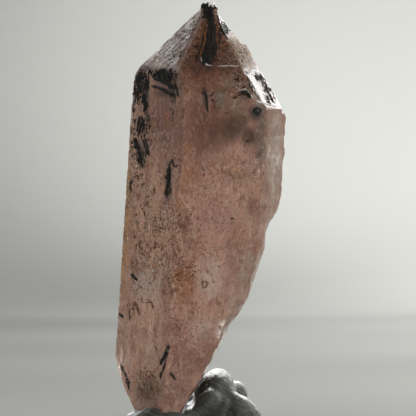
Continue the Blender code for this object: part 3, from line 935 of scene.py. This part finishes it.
# Each piece of needles: its colour and shine, then what bundle, burst and streaks are given in turn,
# with what is unusual last
blackNeedlesAndCavityShade = {
    "finish": "blackNeedleAndCavityShade", "colour": (0.010, 0.009, 0.008), "shine": 0.32,
    "bundles": {
        "ridge": (((211, 14, 3.5), (211.5, 28, 3.8), (211, 44, 4.4), (207, 56, 7.5), (206, 66, 5.5)),
            260, (0.12, 0.34), {"run": (0.1, 0.3)}),
        "ridgeCore": (((211, 16, 1.8), (212, 36, 2.4), (211, 58, 3)), 46, (0.3, 0.6), {"depth": (0.1, 0.7)}),
        "ridgeFringe": (((205, 22, 2), (204, 42, 3), (201, 60, 3.5)), 50, (0.06, 0.18), {}),
        "ridgeSpike": (((192, 47.5, 0.3), (199, 47, 0.7), (207, 49, 1.2)), 14, (0.08, 0.2), {"slip": 0.2}),
        "apexLeft": (((206, 3, 3.4), (207, 10, 4.6), (208, 18, 3.5)), 70, (0.16, 0.4), {}),
        "apexRight": (((214, 2, 1.2), (215, 12, 1)), 10, (0.1, 0.24), {}),
        "spindle": (((222, 26, 1.2), (220, 35, 1.8), (219, 44, 0.6)), 22, (0.1, 0.22), {}),
        "shoulderA": (((138, 65, 5), (138, 80, 5.5), (139, 96, 4)), 100, (0.12, 0.34), {"run": (0.15, 0.4)}),
        "shoulderB": (((147, 74, 3.4), (146, 92, 3), (145, 116, 2)), 60, (0.1, 0.28), {"run": (0.12, 0.3)}),
        "shoulderC": (((133, 78, 1.4), (132, 96, 1)), 14, (0.1, 0.24), {}),
        "triangleTop": (((164, 70, 10), (165, 77, 8), (168, 84, 4)), 130, (0.14, 0.36), {"run": (0.3, 0.7)}),
        "triangleMid": (((157, 78, 2), (166, 83, 3.4), (174, 90, 3)),
            60, (0.12, 0.3), {"slip": 0.8, "run": (0.15, 0.4)}),
        "triangleBand": (((151, 86, 1), (162, 90, 1.8), (175, 97, 1.8)),
            60, (0.1, 0.28), {"slip": 0.5, "run": (0.15, 0.4)}),
        "triangleDown": (((168, 82, 3), (172, 92, 2.6), (175, 104, 1.2)),
            40, (0.08, 0.2), {"run": (0.15, 0.4)}),
        "edgeLine": (((176, 72, 1.2), (176, 86, 1), (179, 98, 0.8)), 16, (0.1, 0.24), {}),
        "streakA": (((140, 117, 5), (141, 135, 4)), 60, (0.08, 0.24), {}),
        "streakB": (((134, 138, 2), (139, 150, 3), (144, 166, 3)), 90, (0.08, 0.28), {"run": (0.12, 0.35)}),
        "streakC": (((144, 136, 3), (149, 156, 2.4)), 44, (0.07, 0.2), {}),
        "stem": (((202, 88, 2), (206, 96, 1.2), (208, 113, 0.3)), 26, (0.1, 0.26), {}),
        "stemRight": (((208, 100, 0.6), (215, 93, 0.4)), 6, (0.08, 0.2), {"slip": 0.2}),
        "stemLow": (((207, 96, 0.5), (214, 103, 0.4)), 5, (0.08, 0.2), {"slip": 0.2}),
        "beakNeedle": (((233, 100, 0.3), (240, 96, 0.8), (247, 93, 1.6)), 18, (0.1, 0.26), {"slip": 0.2}),
        "beak": (((241, 92, 1.2), (246, 95, 2.6), (250, 99, 1.2)), 30, (0.14, 0.36), {"slip": 0.4}),
        "facetNeedles": (((257, 74, 4), (264, 87, 9), (272, 104, 4)),
            80, (0.06, 0.16), {"depth": (-0.06, 0.06), "run": (0.1, 0.3)}),
        "facetEdge": (((245, 78, 0.8), (252, 88, 1.6), (259, 101, 0.8)),
            36, (0.05, 0.14), {"depth": (-0.04, 0.08), "run": (0.1, 0.3)}),
        "mainLow": (((170, 163, 1), (169, 180, 2.2), (167.5, 197, 2.6)),
            90, (0.08, 0.24), {"run": (0.12, 0.4)}),
        "hook": (((172, 159, 0.5), (175, 168, 0.7), (179, 165, 0.4)), 14, (0.1, 0.24), {"slip": 0.2}),
        "curve": (((133, 178, 0.6), (130, 186, 1.0), (133, 196, 0.6)), 14, (0.08, 0.2), {}),
        "smallY": (((168, 109, 0.6), (174, 111, 0.8), (172, 118, 0.5)), 12, (0.08, 0.2), {"slip": 0.2}),
        "doubleDash": (((201, 167, 1.0), (204, 171, 0.8)), 8, (0.1, 0.2), {"slip": 0.2}),
        "dashLow": (((130.5, 273, 0.9), (138, 280.5, 0.6)), 12, (0.16, 0.3), {"slip": 0.2}),
        "tickA": (((116, 303, 0.5), (116.5, 311, 0.5)), 6, (0.12, 0.24), {"slip": 0.2}),
        "tickB": (((116, 311, 0.7), (123.5, 317, 0.4)), 10, (0.16, 0.32), {"slip": 0.2}),
        "needleLow": (((130, 302, 0.3), (129.5, 320, 0.4)), 5, (0.12, 0.24), {}),
        "longA": (((170, 342, 0.5), (166, 351, 1.4), (160.5, 364, 0.4)), 24, (0.14, 0.34), {}),
        "longB": (((168.5, 350, 0.4), (164, 366, 0.8), (160.5, 378, 0.5)), 16, (0.12, 0.28), {}),
        "spotLow": (((171, 370, 0.8), (176, 378, 1.2)), 12, (0.14, 0.3), {"slip": 0.2}),
        "footSpindle": (((125, 376, 0.8), (128, 382, 1.4), (130, 390, 0.6)), 16, (0.14, 0.32), {}),
        "backHigh": (((178, 80, 6), (174, 98, 8), (172, 118, 4)),
            60, (0.06, 0.2), {"back": True, "slip": 4, "run": (0.1, 0.3)}),
        "backShoulder": (((236, 92, 9), (228, 112, 8), (224, 134, 5)),
            110, (0.06, 0.22), {"back": True, "slip": 5, "run": (0.08, 0.25)}),
        "backMiddle": (((194, 152, 2), (203, 168, 5), (200, 190, 3)),
            34, (0.06, 0.18), {"back": True, "slip": 3, "run": (0.1, 0.3)}),
        "backLow": (((178, 290, 2), (170, 308, 4), (166, 330, 1)),
            22, (0.08, 0.2), {"back": True, "slip": 3, "run": (0.15, 0.4)}),
        "backTip": (((207, 10, 4), (202, 26, 6), (193, 44, 6)),
            90, (0.08, 0.26), {"back": True, "slip": 3, "run": (0.1, 0.3)}),
        # The cavity rim is a ring of black needles that is painted shade: the fluid cavity's dark rim
        "cavityRimShade": (
            (
                (256.5, 108.6, 0.9), (259.6, 110.6, 0.9), (259.4, 114, 0.9), (256.5, 115.4, 0.9),
                (253.6, 114, 0.9), (253.4, 110.6, 0.9), (256.5, 108.6, 0.9),
            ),
            80, (0.06, 0.16), {"slip": 0.2, "run": (0.1, 0.25)},
        ),
        "footCurve": (((120, 363, 0.8), (123, 370, 1.0), (127, 377, 0.8)), 14, (0.1, 0.22), {}),
    },
    "bursts": {
        "outerTuft": ((227, 24), (1.8, 4.0), 4.5, 110, (0.06, 0.16), {"depth": (-0.1, 0.06)}),
        "edgeDot": ((126, 161), (0.5, 0.8), 1.6, 8, (0.14, 0.3), {}),
        "dotA": ((183.5, 111), (0.3, 0.3), 1.0, 6, (0.1, 0.2), {}),
        "dotB": ((181.5, 161), (0.3, 0.3), 1.0, 6, (0.1, 0.2), {}),
        "heart": ((231.5, 219), (0.5, 0.6), 1.4, 10, (0.14, 0.3), {}),
        "dotC": ((247, 142), (0.5, 0.6), 1.4, 9, (0.12, 0.24), {}),
        "dashesA": ((226, 114), (2.4, 0.3), 2.0, 9, (0.08, 0.18), {"lean": 95}),
        "dashesB": ((243, 118), (1.2, 0.2), 2.0, 5, (0.08, 0.16), {"lean": 90}),
        "ledgeSpot": ((222, 70), (2.0, 0.8), 2.0, 14, (0.1, 0.26), {}),
        "ledgeLeft": ((184, 70), (1.4, 1.0), 1.6, 10, (0.1, 0.24), {}),
        "marks": ((222, 248), (1.0, 2.0), 1.8, 9, (0.06, 0.14), {"lean": 15}),
    },
    "fields": {
        "shoulder": ((131, 66, 150, 118), 170, (2, 6), (0.08, 0.24), 8, {}),
        "flames": ((129, 112, 154, 172), 320, (2, 6), (0.06, 0.18), -14, {}),
        "leftFace": ((124, 155, 182, 275), 560, (1, 4), (0.05, 0.14), -4, {}),
        "upperFace": ((150, 95, 185, 165), 110, (1, 3), (0.05, 0.12), 0, {}),
        "frost": (((192, 20), (200, 18), (176, 69), (144, 66)), 220, (1, 4), (0.06, 0.18), 48, {}),
        "cream": ((234, 36, 262, 66), 80, (0.6, 2), (0.08, 0.22), 30, {}),
        "back": ((136, 90, 240, 240), 260, (1, 4), (0.05, 0.16), 3, {"back": True}),
        "ledges": ((222, 70, 258, 92), 90, (1, 3), (0.07, 0.2), 75, {}),
    },
}
# Brown needles, and a field of brown streaks that is painted shade along the ridge relief
brownNeedlesAndRidgeShade = {
    "finish": "brownNeedle", "colour": (0.10, 0.042, 0.016), "shine": 0.4,
    "bundles": {
        "wormLow": (((146, 301, 0.6), (151, 301, 0.8), (154, 308, 0.5)), 12, (0.1, 0.22), {}),
        "spindleLow": (((134, 301, 0.6), (137, 307, 1.2), (140, 314, 0.5)), 16, (0.1, 0.24), {}),
        "thinLow": (((155, 344, 0.3), (157, 351, 0.5), (161, 359, 0.3)), 7, (0.08, 0.18), {}),
        "streakMid": (((139, 238, 0.6), (140, 251, 0.6)), 10, (0.1, 0.22), {}),
        "ring": (
            (
                (202, 284, 0.5), (203, 281, 0.5), (206, 280.5, 0.5), (208, 283, 0.5),
                (206.5, 286.5, 0.5), (203.5, 287, 0.5), (202, 284, 0.5),
            ),
            50, (0.06, 0.14), {"slip": 0.2, "run": (0.1, 0.25)},
        ),
        "boxLines": (((244, 151, 0.7), (244, 134, 0.7), (252, 135, 0.7), (252, 144, 0.7)),
            16, (0.04, 0.1), {"run": (0.08, 0.2)}),
        "brownNeedle": (((231, 101, 0.4), (246, 94, 0.5)), 6, (0.1, 0.2), {}),
        "ridgeBrown": (((203, 20, 1.5), (204, 40, 2), (201, 60, 3)), 26, (0.1, 0.22), {}),
        "spindleBrown": (((217, 24, 1.0), (217, 36, 1.4), (218, 45, 1.0)), 16, (0.08, 0.2), {}),
    },
    "bursts": {},
    "fields": {
        "leftBrown": ((122, 180, 176, 310), 700, (0.8, 3.4), (0.06, 0.18), -4, {}),
        "back": ((128, 84, 268, 330), 500, (0.8, 3.2), (0.06, 0.18), 4, {"back": True}),
        "orangeBrown": ((172, 256, 196, 300), 160, (0.6, 1.8), (0.1, 0.3), 0, {}),
        "middle": ((180, 160, 260, 260), 260, (0.6, 2.2), (0.05, 0.14), 5, {}),
        # These brown streaks are painted shade along the ridge relief, not needles
        "ridgeShade": ((226, 168, 264, 184), 90, (1, 3), (0.06, 0.16), 65, {}),
        "olivePatch": ((176, 210, 194, 236), 90, (0.8, 2.2), (0.07, 0.2), 0, {}),
        "lower": ((120, 290, 215, 392), 200, (0.6, 2.2), (0.05, 0.15), -8, {}),
        "footBrown": ((136, 364, 160, 400), 90, (0.8, 2.4), (0.1, 0.28), -20, {}),
    },
}
# Pale threads and painted highlights: the crescent, facet lines, bevel, foot rim, glint bursts and ridge
# gleam are painted glints on edges, facets and the cavity; the rest are pale threads and specks
paleThreadsAndGlints = {
    "finish": "paleThreadAndGlint", "colour": (0.72, 0.68, 0.62), "shine": 0.3,
    "bundles": {
        "crescent": (((202, 58, 1.2), (203, 63, 2.2), (206, 66, 2.0), (214, 67, 1.0)),
            26, (0.03, 0.08), {"slip": 0.2, "depth": (-0.05, 0.04), "run": (0.15, 0.35)}),
        "ledgeLine": (((212, 67.4, 0.2), (226, 66.8, 0.2), (241, 67.6, 0.3)),
            12, (0.02, 0.05), {"slip": 0.2, "depth": (-0.03, 0.02)}),
        "facetLine": (((242, 69, 0.4), (253, 87, 0.5), (260, 101, 0.4)),
            26, (0.06, 0.16), {"slip": 0.2, "depth": (-0.05, 0.03)}),
        "facetFoot": (((256, 102, 0.4), (266, 105, 0.6), (277, 107, 0.5)),
            24, (0.07, 0.18), {"slip": 0.2, "depth": (-0.05, 0.03)}),
        "beakLine": (((237, 92, 0.5), (246, 90, 0.6), (254, 101, 0.4)),
            18, (0.05, 0.12), {"slip": 0.2, "depth": (0.0, 0.1)}),
        "bevel": (((228, 326, 2.2), (223, 337, 1.8), (217, 349, 1), (212, 357, 0.5)),
            70, (0.06, 0.18), {"slip": 0.3, "depth": (-0.05, 0.03), "run": (0.1, 0.3)}),
        "footRim": (((184, 406, 1.0), (194, 396, 1.4), (205, 379, 1.2), (209, 371, 0.8)),
            60, (0.06, 0.2), {"slip": 0.2, "depth": (-0.04, 0.05)}),
    },
    "bursts": {
        "knob": ((211, 4), (1.0, 1.2), 2.0, 30, (0.1, 0.3), {"depth": (-0.08, 0.05)}),
        "cavityGlint": ((256.5, 105.5), (0.7, 0.9), 1.2, 4, (0.05, 0.1), {}),
        "edgeGlint": ((263.5, 240), (0.3, 1.0), 1.2, 6, (0.08, 0.16), {}),
    },
    "fields": {
        "frost": (((197, 12), (203, 10), (176, 69), (142, 67)),
            300, (1, 6), (0.05, 0.13), 48, {"depth": (-0.04, 0.04)}),
        "leftFace": ((126, 120, 180, 300), 160, (0.8, 2.6), (0.05, 0.11), -4, {}),
        "ridgeGleam": ((226, 163, 260, 179), 50, (0.8, 2.4), (0.03, 0.08), 70, {"depth": (0.0, 0.12)}),
        "facets": (((228, 36), (240, 42), (277, 106), (262, 104)),
            90, (0.6, 2.5), (0.05, 0.14), -30, {"depth": (-0.04, 0.06)}),
    },
}


def needleFinish(spray):
    finish = Finish(spray["finish"])
    grain = finish.grain((6.0, 6.0, 1.5))
    lit = tuple(min(0.9, part * 2.2 + 0.004) for part in spray["colour"])
    return finish.close(finish.principled({
        "Base Color": finish.mix(finish.step(grain, 0.35, 0.75), spray["colour"], lit),
        "Roughness": spray["shine"] + grain * 0.2,
        "Specular IOR Level": 0.08,
        "Normal": finish.bump(grain, 0.5, 0.05),
    }))


def makeSprays(surface):
    draw = random.Random(5)
    sprays = {"black_needles_and_cavity_shade": blackNeedlesAndCavityShade, "brown_needles_and_ridge_shade": brownNeedlesAndRidgeShade, "pale_threads_and_glints": paleThreadsAndGlints}
    for name, spray in sprays.items():
        needles = []
        for make, kind in ((bundle, "bundles"), (burst, "bursts"), (streaks, "fields")):
            for *values, unusual in spray[kind].values():
                needles += make(surface, draw, *values, **unusual)
        drawNeedles(name, needles, needleFinish(spray))


# The fluid cavity on the right shoulder, and the bubble in it. Refraction is against what lies round each.
# The fluid's near-black tint is painted shade, for the dark rim that total reflection gives the cavity
cavity = {
    "pixel": (256.5, 112), "half": (0.72, 0.45, 0.78), "depth": 0.56, "bulge": 0.25, "bulgeWaves": 1.3,
    "bubble": 0.30, "bubbleShift": (0.12, 0.0, 0.2),
    "fluid": {"refraction": 0.863, "tint": (0.05, 0.045, 0.04)},
    "gas": {"refraction": 0.752, "tint": (0.9, 0.9, 0.9)},
}


def ball(middle, halves, detail=4):
    bm = bmesh.new()
    bmesh.ops.create_icosphere(bm, subdivisions=detail, radius=1.0)
    bmesh.ops.scale(bm, vec=halves, verts=bm.verts)
    bmesh.ops.translate(bm, vec=middle, verts=bm.verts)
    return bm


def fluidFinish(name, refraction, tint):
    finish = Finish(name)
    film = finish.grain((1.2, 1.2, 1.2), detail=2.0)
    return finish.close(finish.principled({
        "Base Color": finish.mix(film, tint, tuple(part * 0.7 for part in tint)),
        "Roughness": 0.02 + film * 0.04,
        "IOR": refraction,
        "Transmission Weight": 1.0,
    }))


def makeCavity(surface):
    middle = surface.under(*cavity["pixel"], cavity["depth"])
    pocket = ball(middle, cavity["half"])
    for v in pocket.verts:
        v.co += (v.co - middle) * noise.noise(v.co * cavity["bulgeWaves"]) * cavity["bulge"]
    finishPiece("fluid_cavity", pocket, fluidFinish("fluid", **cavity["fluid"]))
    bubble = ball(middle + Vector(cavity["bubbleShift"]), (cavity["bubble"],) * 3, 3)
    finishPiece("gas_bubble", bubble, fluidFinish("gas", **cavity["gas"]))


# Putty: folds, stretch lines and finger marks, in millimetres, with its flat underside kept
putty = {
    "fine": 1, "flat": 0.15, "inset": 0.05, "press": 0.10, "pressWaves": 0.8, "stretch": 0.09,
    "colour": (0.036, 0.037, 0.031), "pale": (0.10, 0.104, 0.09), "dust": (0.22, 0.2, 0.17),
}


def puttyFinish():
    finish = Finish("greyPutty")
    smear = finish.grain((0.35, 0.35, 1.8), detail=4.0, roughness=0.6, distortion=1.2, turn=35.0)
    fine = finish.grain((4.0, 4.0, 4.0), detail=4.0)
    lines = finish.grain((0.6, 0.6, 5.0), detail=2.0, distortion=0.8, turn=28.0)
    dust = finish.step(finish.grain((1.4, 1.4, 1.4), detail=5.0, shift=3.0), 0.60, 0.75)
    colour = finish.mix(finish.step(smear, 0.35, 0.7), putty["colour"], putty["pale"])
    return finish.close(finish.principled({
        "Base Color": finish.mix(dust * 0.25, colour, putty["dust"]),
        "Roughness": 0.34 + smear * 0.2 + dust * 0.1,
        "Specular IOR Level": 0.4,
        "Normal": finish.bump(lines * 0.8 + smear * 0.7 + fine * 0.25, 0.7, 0.25),
    }))


def makePutty():
    made = newObject("puttyRough", mergedCopy("mounting_putty"))
    smooth = made.modifiers.new("fine", "SUBSURF")
    smooth.levels = smooth.render_levels = putty["fine"]
    bm = takeMesh(made)
    bm.normal_update()
    for v in bm.verts:
        if v.co.z < putty["flat"]:
            continue
        x, y, z = v.co
        stretch = noise.noise(Vector((x * 0.5 + z * 0.4, y * 0.3, z * 2.0 - x * 1.1)))
        press = noise.noise(v.co * putty["pressWaves"])
        v.co += v.normal * (stretch * putty["stretch"] - abs(press) * putty["press"] - putty["inset"])
        v.co.z = max(v.co.z, 0.0)
    finishPiece("kneaded_putty", bm, puttyFinish(), replaced="mounting_putty")


# How light travels: enough passes through the veils that none goes black
paths = {"all": 16, "through": 14, "clear": 40}


def setPaths():
    scene = bpy.context.scene
    scene.cycles.max_bounces = paths["all"]
    scene.cycles.transmission_bounces = paths["through"]
    scene.cycles.transparent_max_bounces = paths["clear"]
    scene.view_settings.view_transform = "Standard"


makeCamera()
makeLights()
makeSky()
makeRoom()
setPaths()
print("studio is ready")

skinNet = makeSkinNet()
surface = Surface(skinNet)
makeSprays(surface)
makeCavity(surface)
finishPiece("quartz_skin", skinNet, skinFinish(), sharp=24, replaced="quartz_point")
for name, veil in veils.items():
    makeVeil(name, veil)
makePutty()
print("crystal and putty are ready")
